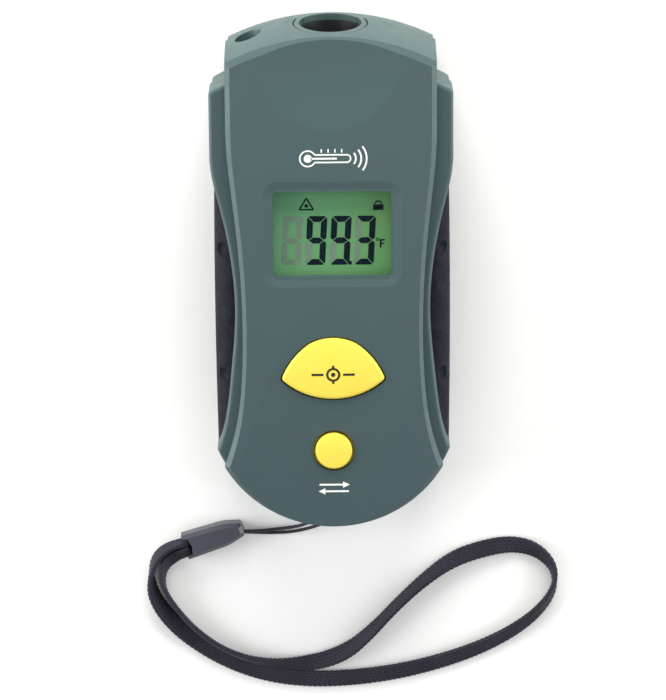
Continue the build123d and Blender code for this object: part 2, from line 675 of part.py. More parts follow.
# ---------------------------------------------------------------- wrist strap
# Moulded connector: string at its narrow end, both ends of the braid in its wide mouth.
MOUTH = (-34.7, -69.2)
HEADING = 198.2
HULL_LENGTH = 14.2
HULL_HEIGHT = 4.3
hull_plane = Plane((*MOUTH, 0.05), x_dir=(-cos(radians(HEADING)), -sin(radians(HEADING)), 0), z_dir=(0, 0, 1))
with BuildPart() as strap_connector:
    with BuildSketch(hull_plane):
        Polygon((0, 3.0), (10.0, 2.7), (HULL_LENGTH, 1.5), (HULL_LENGTH, -1.5), (10.0, -2.7), (0, -3.0), align=None)
        fillet(vertices().sort_by(Axis.X)[-4:-2], radius=10)
        fillet(vertices().sort_by(Axis.X)[-2:], radius=1.0)
    extrude(amount=HULL_HEIGHT)
    for face, bevel in zip(faces().filter_by(Axis.Z).sort_by(Axis.Z), (0.55, 0.85)):
        mouth_edge, *rim = face.edges().sort_by_distance((*MOUTH, face.center().Z))
        chamfer(rim, length=bevel)
    # mouth for the braid, with the top cut back between two side cheeks
    with BuildSketch(hull_plane.offset(0.75)):
        Rectangle(3.0, 4.8)
    extrude(amount=2.8, mode=Mode.SUBTRACT)
    with BuildSketch(hull_plane.offset(3.0)):
        Polygon((-0.5, 2.4), (1.2, 2.1), (1.7, 0), (1.2, -2.1), (-0.5, -2.4), align=None)
    extrude(amount=HULL_HEIGHT, mode=Mode.SUBTRACT)
save(strap_connector, "strap_connector")


def corner_radii(points):
    """Largest arc at each corner that leaves a tenth of the shorter run straight."""
    spots = [Vector(*p) for p in points]
    radii = []
    for before, here, after in zip(spots, spots[1:], spots[2:]):
        run_in, run_out = here - before, after - here
        half_turn = radians(run_in.get_angle(run_out)) / 2
        radii.append(0.45 * min(run_in.length, run_out.length) / tan(half_turn))
    return radii


def cord_tube(points, diameter, name):
    """Round tube of straight runs joined by tangent arcs."""
    radii = corner_radii(points)
    with BuildLine() as route:
        FilletPolyline(*points, radius=radii)
    path = route.wire()
    with BuildPart() as tube:
        with BuildSketch(Plane(path @ 0, z_dir=path % 0)):
            Circle(diameter / 2)
        sweep(path=path)
    save(tube, name)
    fill = tube.part.volume / (pi * diameter**2 / 4 * path.length)
    print(name, "length", round(path.length, 1), "volume ratio", round(fill, 3))
    print("radii", [round(r, 1) for r in radii])


# String from the connector, round the eyelet bar and back, settling on the table between.
STRING_Z = 6.6
STRING_ROUTE = [
    (-21.2, -64.3, 2.3), (-17.6, -63.6, 1.6), (-13.4, -63.9, 0.9), (-9.2, -63.7, 1.2), (-5.4, -62.2, 3.0),
    (-2.6, -59.9, 5.2), (-1.4, -57.4, STRING_Z), (-1.22, -54.75, STRING_Z), (1.22, -54.75, STRING_Z),
    (1.3, -57.6, STRING_Z), (0.7, -60.4, 5.3), (-1.8, -63.2, 3.2), (-5.8, -65.1, 1.5), (-10.4, -65.9, 0.8),
    (-15.6, -66.0, 1.3), (-20.8, -65.6, 2.3),
]
# Flat braid in one wide loop on the table, both ends in the connector's mouth.
BAND_ROUTE = [
    (-34.0, -67.9, 2.2), (-38.2, -69.4, 1.8), (-41.4, -71.9, 1.3), (-43.0, -76.2, 1.15), (-42.3, -81.4, 1.15),
    (-39.0, -87.0, 1.15), (-33.4, -92.6, 1.15), (-25.9, -97.5, 1.15), (-17.2, -101.0, 1.15),
    (-7.6, -102.6, 1.15), (2.6, -102.5, 1.15), (13.2, -101.2, 1.15), (23.6, -98.7, 1.15),
    (33.2, -95.3, 1.15), (41.4, -91.0, 1.15), (47.6, -86.0, 1.15), (51.2, -80.2, 1.15),
    (50.8, -74.2, 1.15), (46.6, -69.9, 1.15), (40.4, -68.9, 1.15), (33.6, -70.3, 1.15),
    (26.8, -73.4, 1.15), (20.2, -78.4, 1.15), (14.0, -84.4, 1.15), (8.4, -90.6, 1.15),
    (2.8, -95.6, 1.15), (-3.8, -98.2, 1.15), (-11.2, -98.4, 1.15), (-18.5, -96.6, 1.15),
    (-25.2, -93.4, 1.15), (-31.0, -89.0, 1.15), (-35.6, -83.8, 1.15), (-38.4, -79.2, 1.2),
    (-38.9, -75.0, 1.4), (-37.1, -71.8, 1.8), (-33.3, -70.2, 2.2),
]
cord_tube(STRING_ROUTE, STRING_D, "strap_string")
cord_tube(BAND_ROUTE, BAND_D, "strap_band")
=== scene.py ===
import json
import math

import bmesh
import bpy
import numpy as np
from mathutils import Matrix, Vector
from mathutils.bvhtree import BVHTree


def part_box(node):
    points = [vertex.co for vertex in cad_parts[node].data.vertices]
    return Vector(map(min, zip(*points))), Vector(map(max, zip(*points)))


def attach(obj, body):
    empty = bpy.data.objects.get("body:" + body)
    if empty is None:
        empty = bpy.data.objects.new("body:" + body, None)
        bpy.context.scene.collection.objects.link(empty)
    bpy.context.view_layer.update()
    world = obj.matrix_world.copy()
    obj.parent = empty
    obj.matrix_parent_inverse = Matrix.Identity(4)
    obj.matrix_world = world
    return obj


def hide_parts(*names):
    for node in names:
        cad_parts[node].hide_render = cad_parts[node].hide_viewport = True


# A pocket infrared thermometer lying on its back with its wrist strap spread on the table.
# Metres, in the model's frame: +X right of the display, +Y towards the lens, +Z out of the display.
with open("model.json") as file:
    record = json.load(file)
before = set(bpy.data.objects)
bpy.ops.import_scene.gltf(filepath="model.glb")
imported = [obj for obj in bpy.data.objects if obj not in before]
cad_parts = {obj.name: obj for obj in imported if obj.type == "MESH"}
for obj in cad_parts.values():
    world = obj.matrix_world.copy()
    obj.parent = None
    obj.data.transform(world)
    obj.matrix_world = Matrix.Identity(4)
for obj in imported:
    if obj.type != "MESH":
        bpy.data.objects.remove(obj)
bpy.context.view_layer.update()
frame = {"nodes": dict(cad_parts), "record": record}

MM = 0.001
nodes = frame["nodes"]


def mm(*values):
    """Values in millimetres as a vector in metres."""
    return Vector(values) * MM


# ---------------------------------------------------------------- camera
AIM = mm(0, -15.75, 27)
CAMERA_DISTANCE = 0.9
CAMERA_TILT = math.radians(15)
CAMERA_ROLL = math.radians(0.5)
FOCAL_LENGTH = 207.7


def add_camera():
    """Long lens above the display, leaning towards the lens end."""
    data = bpy.data.cameras.new("camera")
    data.lens = FOCAL_LENGTH
    data.sensor_width = 36
    data.clip_start = 0.01
    camera = bpy.data.objects.new("camera", data)
    camera.location = AIM + CAMERA_DISTANCE * Vector((0, math.sin(CAMERA_TILT), math.cos(CAMERA_TILT)))
    tilt = Matrix.Rotation(-CAMERA_TILT, 3, "X")
    camera.rotation_euler = (tilt @ Matrix.Rotation(-CAMERA_ROLL, 3, "Z")).to_euler()
    bpy.context.scene.collection.objects.link(camera)
    bpy.context.scene.camera = camera


add_camera()


# ---------------------------------------------------------------- mesh helpers
def new_piece(name, points, faces, smooth=True):
    """Mesh object from points and faces, with its normals made to face outwards."""
    mesh = bpy.data.meshes.new(name)
    mesh.from_pydata([tuple(p) for p in points], [], faces)
    mesh.validate()
    tidy = bmesh.new()
    tidy.from_mesh(mesh)
    bmesh.ops.recalc_face_normals(tidy, faces=tidy.faces)
    tidy.to_mesh(mesh)
    tidy.free()
    if smooth:
        mesh.shade_smooth()
    piece = bpy.data.objects.new(name, mesh)
    bpy.context.scene.collection.objects.link(piece)
    return piece


def ring_faces(ring_count, size, first=0, capped=True):
    """Quads between rings of points, with a cap over each end."""
    faces = []
    for ring in range(ring_count - 1):
        base = first + ring * size
        for i in range(size):
            j = (i + 1) % size
            faces.append((base + i, base + j, base + size + j, base + size + i))
    if capped:
        faces.append(tuple(first + i for i in range(size)))
        last = first + (ring_count - 1) * size
        faces.append(tuple(last + i for i in range(size)))
    return faces


ROUTE_ORDER = 3
ROUTE_RESOLUTION = 24


def smooth_line(route):
    """Points along the smooth line whose control points are the route's, in millimetres."""
    curve = bpy.data.curves.new("route", "CURVE")
    curve.dimensions = "3D"
    curve.resolution_u = ROUTE_RESOLUTION
    spline = curve.splines.new("NURBS")
    spline.points.add(len(route) - 1)
    for point, place in zip(spline.points, route):
        point.co = (*mm(*place), 1)
    spline.order_u = ROUTE_ORDER
    spline.use_endpoint_u = True
    carrier = bpy.data.objects.new("route", curve)
    mesh = bpy.data.meshes.new_from_object(carrier)
    line = np.array([v.co for v in mesh.vertices], float)
    bpy.data.objects.remove(carrier)
    bpy.data.meshes.remove(mesh)
    bpy.data.curves.remove(curve)
    return line


def even_steps(line, step):
    """The same line with points at even distances, and the distance of each from its start."""
    runs = np.linalg.norm(np.diff(line, axis=0), axis=1)
    along = np.concatenate([[0], np.cumsum(runs)])
    stops = np.linspace(0, along[-1], int(round(along[-1] / step)) + 1)
    points = np.stack([np.interp(stops, along, line[:, k]) for k in range(3)], axis=1)
    return points, stops


def circle(x, y, radius, size=20):
    """Points round a circle."""
    return [(x + radius * math.cos(2 * math.pi * i / size), y + radius * math.sin(2 * math.pi * i / size))
            for i in range(size)]


def unit(vectors):
    """Each row at length one."""
    return vectors / np.linalg.norm(vectors, axis=1, keepdims=True)


def smoothstep(values):
    """Eased 0 to 1."""
    clipped = np.clip(values, 0, 1)
    return clipped * clipped * (3 - 2 * clipped)


# ---------------------------------------------------------------- wrist strap
STRING_ROUTE = [
    (-21.2, -65.6, 2.5), (-17.6, -65.8, 1.8), (-14.0, -65.7, 0.9), (-10.2, -65.3, 0.9), (-6.8, -64.2, 2.2),
    (-3.6, -61.8, 4.5), (-1.5, -58.4, 6.6), (-1.22, -54.75, 6.6), (1.22, -54.75, 6.6),
    (1.3, -57.6, 6.6), (0.4, -60.8, 5.3), (-2.0, -63.4, 3.4), (-5.6, -65.2, 1.7), (-9.8, -66.4, 0.8),
    (-14.4, -66.6, 0.8), (-17.9, -66.4, 1.0), (-21.1, -66.1, 1.6),
]
BAND_ROUTE = [
    (-34.0, -67.9, 2.2), (-38.2, -69.2, 2.0), (-41.6, -71.9, 2.0), (-43.0, -76.2, 1.15), (-42.3, -81.4, 1.15),
    (-39.0, -87.0, 1.15), (-33.4, -92.6, 1.15), (-25.9, -97.5, 1.15), (-17.2, -101.0, 1.15),
    (-7.6, -102.6, 1.15), (2.6, -102.5, 1.15), (13.2, -101.2, 1.15), (23.6, -98.7, 1.15),
    (33.2, -95.3, 1.15), (41.4, -91.0, 1.15), (47.6, -86.0, 1.15), (51.2, -80.2, 1.15),
    (50.9, -75.0, 1.15), (46.8, -70.8, 1.15), (40.4, -69.7, 1.15), (33.4, -71.0, 1.15),
    (26.8, -73.4, 1.15), (20.2, -78.4, 1.15), (14.0, -84.4, 1.15), (8.4, -90.6, 1.15),
    (2.8, -95.6, 1.15), (-3.8, -98.4, 1.15), (-11.6, -99.2, 1.15), (-19.2, -97.9, 1.15),
    (-26.3, -94.7, 1.15), (-32.3, -90.2, 1.15), (-37.0, -84.8, 1.15), (-40.0, -79.8, 1.2),
    (-40.3, -75.2, 1.4), (-37.8, -71.8, 1.8), (-33.4, -70.3, 2.2),
]
STRING_R = 0.40 * MM
STRING_STEP = 0.16 * MM
STRING_SECTION_POINTS = 18
STRANDS = 3
STRAND_LAY = 2.4 * MM
STRAND_DEPTH = 0.055 * MM

BAND_WIDTH = 4.0 * MM
BAND_THICKNESS = 1.2 * MM
BAND_STEP = 0.24 * MM
FLOOR_GAP = 0.05 * MM
# Both ends of the band lie squeezed together in the connector, each at its own lean.
START_HEADING = math.radians(198)
START_LEAN = math.radians(258)
END_LEAN = math.radians(392)
START_REACH = 16 * MM
END_REACH = 9 * MM
END_SQUEEZE = 0.25
# The band twists further where it leaves the connector, where it crosses itself and where it comes back.
EXTRA_TWIST = math.radians(38)
CROSSING_TWIST_SHARE = 0.6
OUTER_TWIST_AT = 38 * MM
CROSSING_TWIST_AT = 172 * MM
INNER_TWIST_AT = 34 * MM
TWIST_SPREAD = 20 * MM

BRAID_COLUMNS = 12
COLUMN_POINTS = 4
STITCH_LENGTH = 1.15 * MM
STITCH_RELIEF = 0.24 * MM
STITCH_SLANT = 0.95
STITCH_VALLEY = 0.3
STITCH_LEVEL = 0.75


def make_string():
    """Thin cord of three twisted strands, out to the eyelet bar and back."""
    centres, along = even_steps(smooth_line(STRING_ROUTE), STRING_STEP)
    tangents = unit(np.gradient(centres, axis=0))
    size = STRING_SECTION_POINTS
    side = unit(np.cross(tangents, [0, 0, 1]))
    up = np.cross(side, tangents)
    points = []
    for centre, s, u, distance in zip(centres, side, up, along):
        for i in range(size):
            angle = 2 * math.pi * i / size
            groove = abs(math.cos(STRANDS / 2 * (angle + 2 * math.pi * distance / STRAND_LAY)))
            radius = STRING_R - STRAND_DEPTH * (1 - groove)
            points.append(centre + radius * (math.cos(angle) * s + math.sin(angle) * u))
    piece = new_piece("wrist_string", points, ring_faces(len(centres), size))
    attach(piece, "housing")
    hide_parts("strap_string")
    return piece


def band_section():
    """Points round the flat braid: place across, place out of it, outward normal, and place in columns."""
    straight = BAND_WIDTH - BAND_THICKNESS
    radius = BAND_THICKNESS / 2
    perimeter = 2 * straight + 2 * math.pi * radius
    size = BRAID_COLUMNS * COLUMN_POINTS
    rows = []
    for i in range(size):
        turn = (i + 0.5) / size * perimeter
        lap, half = divmod(turn, perimeter / 2)
        sign = 1 if lap == 0 else -1
        if half < straight:
            place, normal = (straight / 2 - half, radius), (0.0, 1.0)
        else:
            angle = (half - straight) / radius
            place = (-straight / 2 - radius * math.sin(angle), radius * math.cos(angle))
            normal = (-math.sin(angle), math.cos(angle))
        rows.append((sign * place[0], sign * place[1], sign * normal[0], sign * normal[1],
                     turn / perimeter * BRAID_COLUMNS))
    return np.array(rows)


def band_lean(along, tangents, near_start, near_end):
    """Angle of the broad face from level along the band, which turns with the band's heading."""
    heading = np.unwrap(np.arctan2(tangents[:, 1], tangents[:, 0]))
    heading += 2 * math.pi * round((START_HEADING - heading[0]) / (2 * math.pi))
    early = np.exp(-((along - OUTER_TWIST_AT) / TWIST_SPREAD) ** 2)
    late = np.exp(-((along[-1] - along - INNER_TWIST_AT) / TWIST_SPREAD) ** 2)
    middle = np.exp(-((along - CROSSING_TWIST_AT) / TWIST_SPREAD) ** 2)
    twist = EXTRA_TWIST * (early + CROSSING_TWIST_SHARE * middle - late)
    free = (heading + twist) * (1 - near_start - near_end)
    return free + (near_start * START_LEAN + near_end * END_LEAN)


def stitch_height(section, along):
    """Height of the braid's stitches, from 0 to 1, for each place along the band and each section point."""
    column = np.floor(section[:, 4])
    place = section[:, 4] - column - 0.5
    slant = np.where(column % 2 == 0, STITCH_SLANT, -STITCH_SLANT)
    envelope = np.sqrt(np.cos(math.pi * place))
    phase = along[:, None] / STITCH_LENGTH + (slant * place + 0.5 * (column % 4 > 1))[None, :]
    ridge = 0.5 + 0.5 * np.cos(2 * math.pi * phase)
    return envelope[None, :] * (STITCH_VALLEY + (1 - STITCH_VALLEY) * ridge)


def make_band():
    """Flat braid that runs out of the connector, round its loop on the table and back in."""
    centres, along = even_steps(smooth_line(BAND_ROUTE), BAND_STEP)
    tangents = unit(np.gradient(centres, axis=0))
    near_start = 1 - smoothstep(along / START_REACH)
    near_end = 1 - smoothstep((along[-1] - along) / END_REACH)
    near_connector = np.maximum(near_start, near_end)
    lean = band_lean(along, tangents, near_start, near_end)
    squeeze = 1 - END_SQUEEZE * near_connector
    side = unit(np.cross([0, 0, 1], tangents))
    up = np.cross(tangents, side)
    across = np.cos(lean)[:, None] * side + np.sin(lean)[:, None] * up
    out = np.cross(tangents, across)
    lowest = abs(across[:, 2]) * (BAND_WIDTH - BAND_THICKNESS) / 2 * squeeze + BAND_THICKNESS / 2
    centres[:, 2] = np.maximum(centres[:, 2] * near_connector, lowest + FLOOR_GAP)

    section = band_section()
    height = stitch_height(section, along)
    swell = STITCH_RELIEF * (height - STITCH_LEVEL)
    x = section[None, :, 0] * squeeze[:, None] + swell * section[None, :, 2]
    y = section[None, :, 1] + swell * section[None, :, 3]
    points = centres[:, None, :] + x[..., None] * across[:, None, :] + y[..., None] * out[:, None, :]
    size = len(section)
    piece = new_piece("wrist_band", points.reshape(-1, 3), ring_faces(len(centres), size))
    shade = piece.data.attributes.new("braid_height", "FLOAT", "POINT")
    shade.data.foreach_set("value", height.ravel().astype(np.float32))
    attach(piece, "housing")
    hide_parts("strap_band")
    return piece


wrist_string = make_string()
wrist_band = make_band()


# ---------------------------------------------------------------- material helpers
# The Mix node has a set of sockets for each kind of data; these are its colour ones.
MIX_SHARE, MIX_FIRST, MIX_SECOND, MIX_RESULT = 0, 6, 7, 2
MOTTLE = 0.08
DRAWN_LINES = (1, 1, 12)
PANEL_COLUMNS = (1, 0.02, 0.02)


class Look:
    """One procedural material, built round its Principled shader."""

    def __init__(self, name, **settings):
        self.material = bpy.data.materials.new(name)
        self.material.use_nodes = True
        self.tree = self.material.node_tree
        self.shader = self.tree.nodes["Principled BSDF"]
        for key, value in settings.items():
            socket = self.shader.inputs[key.replace("_", " ")]
            socket.default_value = (*value, 1) if isinstance(value, tuple) and len(value) == 3 else value

    def node(self, kind, **inputs):
        """New shader node whose inputs take these values or sockets."""
        made = self.tree.nodes.new(kind)
        for key, value in inputs.items():
            self.feed(made.inputs[key.replace("_", " ")], value)
        return made

    def feed(self, socket, value):
        """Links a socket to this one, or sets its value."""
        if isinstance(value, bpy.types.NodeSocket):
            self.tree.links.new(value, socket)
        else:
            socket.default_value = value

    def place(self, scale=(1, 1, 1)):
        """Object coordinates, stretched."""
        coordinates = self.node("ShaderNodeTexCoord")
        mapping = self.node("ShaderNodeMapping", Vector=coordinates.outputs["Object"])
        mapping.inputs["Scale"].default_value = scale
        return mapping.outputs["Vector"]

    def noise(self, grain, detail=3.0, roughness=0.5, vector=None):
        """Soft noise from 0 to 1 whose grain has this size in metres."""
        vector = self.place() if vector is None else vector
        made = self.node("ShaderNodeTexNoise", Vector=vector, Scale=1 / grain, Detail=detail,
                         Roughness=roughness)
        return made.outputs["Fac"]

    def span(self, value, low, high, start=0.0, end=1.0):
        """Value between start and end, moved to between low and high."""
        made = self.node("ShaderNodeMapRange", Value=value)
        made.inputs["From Min"].default_value = start
        made.inputs["From Max"].default_value = end
        made.inputs["To Min"].default_value = low
        made.inputs["To Max"].default_value = high
        return made.outputs["Result"]

    def blend(self, share, first, second):
        """Colour between two others."""
        made = self.tree.nodes.new("ShaderNodeMix")
        made.data_type = "RGBA"
        self.feed(made.inputs[MIX_SHARE], share)
        for socket, colour in ((made.inputs[MIX_FIRST], first), (made.inputs[MIX_SECOND], second)):
            self.feed(socket, (*colour, 1) if isinstance(colour, tuple) else colour)
        return made.outputs[MIX_RESULT]

    def colour(self, value):
        """Sets the base colour."""
        self.feed(self.shader.inputs["Base Color"], value)

    def rough(self, value):
        """Sets the roughness."""
        self.feed(self.shader.inputs["Roughness"], value)

    def bump(self, height, depth, strength):
        """Bump of this depth in metres."""
        made = self.node("ShaderNodeBump", Height=height, Strength=strength, Distance=depth)
        self.feed(self.shader.inputs["Normal"], made.outputs["Normal"])


def shade_of(colour, factor):
    """The colour, lighter or darker."""
    return tuple(channel * factor for channel in colour)


def moulded(name, colour, roughness, relief=0.02 * MM, **settings):
    """Moulded plastic: faint mottling, fine texture and slightly uneven gloss."""
    look = Look(name, **settings)
    cloud = look.noise(14 * MM, 4.0)
    speck = look.noise(0.3 * MM, 2.0)
    base = look.blend(cloud, shade_of(colour, 1 - MOTTLE), shade_of(colour, 1 + MOTTLE))
    look.colour(look.blend(look.span(speck, 0.0, 0.35, 0.45, 0.75), base, shade_of(colour, 1.25)))
    look.rough(look.span(speck, roughness - 0.06, roughness + 0.08, 0.3, 0.7))
    look.bump(speck, relief, 0.5)
    return look


def metal(name, colour, roughness):
    """Plated or turned metal with fine drawn lines."""
    look = Look(name, Metallic=1.0)
    lines = look.noise(0.6 * MM, 3.0, vector=look.place(scale=DRAWN_LINES))
    tarnish = look.noise(5 * MM, 3.0)
    look.colour(look.blend(tarnish, shade_of(colour, 0.82), shade_of(colour, 1.08)))
    look.rough(look.span(lines, roughness - 0.08, roughness + 0.12, 0.3, 0.7))
    look.bump(lines, 0.01 * MM, 0.4)
    return look


# ---------------------------------------------------------------- materials
CASE_COLOUR = (0.059, 0.098, 0.104)
# Painted shade: towards the tail the case colour is darkened to this one, from CASE_NOSE_Y down to
# CASE_TAIL_Y.
CASE_TAIL_PAINTED_SHADE = (0.045, 0.076, 0.086)
CASE_TAIL_Y = -55 * MM
CASE_NOSE_Y = 40 * MM
SEAM_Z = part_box("front_shell")[0].z
SEAM_HALF = 0.26 * MM
YELLOW = (0.83, 0.69, 0.090)
WARM_YELLOW = (0.83, 0.66, 0.080)
PANEL_SIDE_X = 13 * MM
PANEL_FOOT_Y = 1.2 * MM
PANEL_HEAD_Y = 20 * MM
PANEL_GLOW = 0.15
TRACK_PITCH = 2 * MM
JACKET_BAND_Y = (-7.5 * MM, -7.0 * MM)


def case_plastic():
    """Grey-green case with a spark-eroded texture, painted shade darkening it towards the tail, and a fine
    line at its seam.
    """
    look = Look("case_plastic", Specular_IOR_Level=0.35)
    length = look.node("ShaderNodeSeparateXYZ", Vector=look.place()).outputs["Y"]
    # Painted shade: share of the darker tail colour, rising from the lens end to the tail.
    tail_painted_shade = look.span(length, 1.0, 0.0, CASE_TAIL_Y, CASE_NOSE_Y)
    cloud = look.noise(18 * MM, 4.0)
    base = look.blend(tail_painted_shade, CASE_COLOUR, CASE_TAIL_PAINTED_SHADE)
    base = look.blend(look.span(cloud, 0.0, 0.5), base, shade_of(CASE_COLOUR, 0.93))
    grain = look.noise(0.22 * MM, 2.0, 0.6)
    scuffs = look.noise(3.5 * MM, 6.0, 0.7)
    base = look.blend(look.span(grain, 0.0, 0.22, 0.45, 0.75), base, shade_of(CASE_COLOUR, 1.3))
    height = look.node("ShaderNodeSeparateXYZ", Vector=look.place()).outputs["Z"]
    seam = look.node("ShaderNodeMath")
    seam.operation = "MULTIPLY"
    look.feed(seam.inputs[0], look.span(height, 0.0, 1.0, SEAM_Z - SEAM_HALF, SEAM_Z))
    look.feed(seam.inputs[1], look.span(height, 1.0, 0.0, SEAM_Z, SEAM_Z + SEAM_HALF))
    look.colour(look.blend(seam.outputs[0], base, shade_of(CASE_COLOUR, 0.18)))
    look.rough(look.span(scuffs, 0.42, 0.56, 0.35, 0.65))
    look.bump(grain, 0.018 * MM, 0.55)
    return look


def grip_rubber():
    """Soft black rubber with a fine matt skin and a trace of dust."""
    look = Look("grip_rubber", Specular_IOR_Level=0.12)
    dust = look.noise(2.2 * MM, 6.0, 0.7)
    grain = look.noise(0.35 * MM, 3.0)
    dusty = look.span(dust, 0.0, 1.0, 0.4, 0.75)
    look.colour(look.blend(dusty, (0.007, 0.007, 0.013), (0.016, 0.018, 0.030)))
    look.rough(look.span(grain, 0.55, 0.72, 0.3, 0.7))
    look.bump(grain, 0.03 * MM, 0.6)
    return look


def yellow_button():
    """Satin yellow moulding with a warmer cloud in it."""
    look = Look("button_yellow", Specular_IOR_Level=0.4, Subsurface_Weight=0.05, Subsurface_Scale=0.001)
    cloud = look.noise(6 * MM, 2.0)
    grain = look.noise(0.25 * MM, 2.0)
    look.colour(look.blend(look.span(cloud, 0.0, 1.0, 0.35, 0.7), YELLOW, WARM_YELLOW))
    look.rough(look.span(grain, 0.36, 0.46, 0.3, 0.7))
    look.bump(grain, 0.008 * MM, 0.5)
    return look


def display_glass():
    """Lit liquid-crystal panel: green, paler at the left and low down, with faint fine columns."""
    look = Look("display_glass", Roughness=0.5, Specular_IOR_Level=0.1)
    parts = look.node("ShaderNodeSeparateXYZ", Vector=look.place())
    across = look.span(parts.outputs["X"], 0.0, 1.0, -PANEL_SIDE_X, PANEL_SIDE_X)
    down = look.span(parts.outputs["Y"], 1.0, 0.0, PANEL_FOOT_Y, PANEL_HEAD_Y)
    cloud = look.noise(9 * MM, 3.0)
    green = look.blend(across, (0.098, 0.262, 0.158), (0.092, 0.232, 0.078))
    green = look.blend(look.span(down, 0.0, 0.5), green, (0.120, 0.300, 0.110))
    green = look.blend(look.span(cloud, 0.0, 0.45, 0.35, 0.7), green, (0.078, 0.235, 0.090))
    columns = look.noise(0.25 * MM, 1.0, vector=look.place(scale=PANEL_COLUMNS))
    green = look.blend(look.span(columns, 0.0, 0.12), green, (0.15, 0.34, 0.16))
    look.colour(green)
    look.feed(look.shader.inputs["Emission Color"], green)
    look.shader.inputs["Emission Strength"].default_value = PANEL_GLOW
    return look


def display_ink(name, colour):
    """Darkened liquid crystal, slightly uneven."""
    look = Look(name, Roughness=0.6, Specular_IOR_Level=0.05)
    cloud = look.noise(3 * MM, 2.0)
    look.colour(look.blend(cloud, shade_of(colour, 0.8), shade_of(colour, 1.25)))
    return look


def clear_window():
    """Clear acrylic pane."""
    look = Look("clear_window", Base_Color=(0.1, 0.15, 0.12), Alpha=0.02, Specular_IOR_Level=0.4)
    smear = look.noise(7 * MM, 3.0)
    look.rough(look.span(smear, 0.04, 0.12, 0.3, 0.7))
    return look


def woven_band():
    """Blue-black polyester braid, its yarn colour on the stitches and painted shade darkening the valleys
    between them.
    """
    look = Look("strap_braid", Specular_IOR_Level=0.3, Sheen_Weight=0.1, Sheen_Roughness=0.4)
    height = look.tree.nodes.new("ShaderNodeAttribute")
    height.attribute_name = "braid_height"
    fibre = look.noise(0.12 * MM, 3.0, 0.7)
    wear = look.noise(9 * MM, 3.0)
    # Painted shade: the low places between the stitches are darkened to near black, following the braid's
    # height.
    valley_shade_share = look.span(height.outputs["Fac"], 0.0, 1.0, 0.25, 1.0)
    top = look.blend(look.span(wear, 0.0, 1.0, 0.35, 0.7), (0.018, 0.018, 0.033), (0.044, 0.043, 0.070))
    colour = look.blend(valley_shade_share, (0.003, 0.003, 0.008), top)
    look.colour(look.blend(look.span(fibre, 0.0, 0.45, 0.35, 0.8), colour, (0.070, 0.068, 0.096)))
    look.rough(look.span(fibre, 0.65, 0.85, 0.3, 0.7))
    look.bump(fibre, 0.05 * MM, 0.6)
    return look


def string_cord():
    """Black twisted cord with stray light fibres."""
    look = Look("strap_cord", Specular_IOR_Level=0.35, Sheen_Weight=0.1)
    fibre = look.noise(0.10 * MM, 3.0, 0.7)
    stray = look.span(fibre, 0.0, 1.0, 0.4, 0.8)
    look.colour(look.blend(stray, (0.008, 0.008, 0.012), (0.05, 0.05, 0.065)))
    look.rough(look.span(fibre, 0.5, 0.7, 0.3, 0.7))
    look.bump(fibre, 0.03 * MM, 0.6)
    return look


def circuit_board():
    """Green solder mask with tracks showing as fine ridges."""
    look = Look("circuit_board", Specular_IOR_Level=0.5)
    tracks = look.node("ShaderNodeTexVoronoi", Vector=look.place(),
                       Scale=1 / TRACK_PITCH).outputs["Distance"]
    ridge = look.span(tracks, 1.0, 0.0, 0.02, 0.25)
    look.colour(look.blend(ridge, (0.012, 0.10, 0.035), (0.03, 0.19, 0.07)))
    look.rough(look.span(look.noise(1 * MM), 0.28, 0.42))
    look.bump(ridge, 0.03 * MM, 0.4)
    return look


def battery_jacket():
    """Dark printed jacket with a bright band at one end."""
    look = Look("battery_jacket", Metallic=0.4)
    length = look.node("ShaderNodeSeparateXYZ", Vector=look.place()).outputs["Y"]
    band = look.span(length, 0.0, 1.0, *JACKET_BAND_Y)
    look.colour(look.blend(band, (0.03, 0.03, 0.035), (0.45, 0.24, 0.06)))
    scuff = look.noise(2 * MM, 5.0, 0.7)
    look.rough(look.span(scuff, 0.25, 0.42, 0.35, 0.7))
    look.bump(scuff, 0.01 * MM, 0.4)
    return look


def printed_ink(name, colour):
    """Pad-printed ink, slightly thin in places."""
    look = Look(name, Roughness=0.45)
    thin = look.noise(0.5 * MM, 3.0)
    look.colour(look.blend(look.span(thin, 0.0, 0.35, 0.5, 0.8), colour, shade_of(colour, 0.75)))
    return look


looks = {
    "case_plastic": case_plastic(),
    "grip_rubber": grip_rubber(),
    "clear_window": clear_window(),
    "display_glass": display_glass(),
    "light_guide": moulded("light_guide", (0.65, 0.80, 0.62), 0.3, Subsurface_Weight=0.2),
    "black_plastic": moulded("black_plastic", (0.008, 0.009, 0.011), 0.5, Specular_IOR_Level=0.25),
    "zebra_rubber": moulded("zebra_rubber", (0.45, 0.33, 0.36), 0.6),
    "circuit_board": circuit_board(),
    "component_ceramic": moulded("component_ceramic", (0.42, 0.33, 0.22), 0.4),
    "ir_lens": moulded("ir_lens", (0.22, 0.21, 0.20), 0.2, Coat_Weight=0.4),
    "sensor_can": metal("sensor_can", (0.62, 0.60, 0.55), 0.28),
    "brass": metal("brass", (0.70, 0.50, 0.20), 0.28),
    "laser_glass": moulded("laser_glass", (0.030, 0.006, 0.008), 0.12, Coat_Weight=0.8),
    "battery_jacket": battery_jacket(),
    "plated_steel": metal("plated_steel", (0.62, 0.62, 0.64), 0.25),
    "button_yellow": yellow_button(),
    "plunger_plastic": moulded("plunger_plastic", (0.06, 0.06, 0.065), 0.35),
    "strap_cord": string_cord(),
    "strap_moulding": moulded("strap_moulding", (0.052, 0.057, 0.075), 0.34, relief=0.01 * MM),
    "strap_braid": woven_band(),
}
display_dark = display_ink("display_dark", (0.002, 0.006, 0.014))
display_faint = display_ink("display_faint", (0.145, 0.215, 0.162))
ink_white = printed_ink("ink_white", (0.82, 0.84, 0.84))
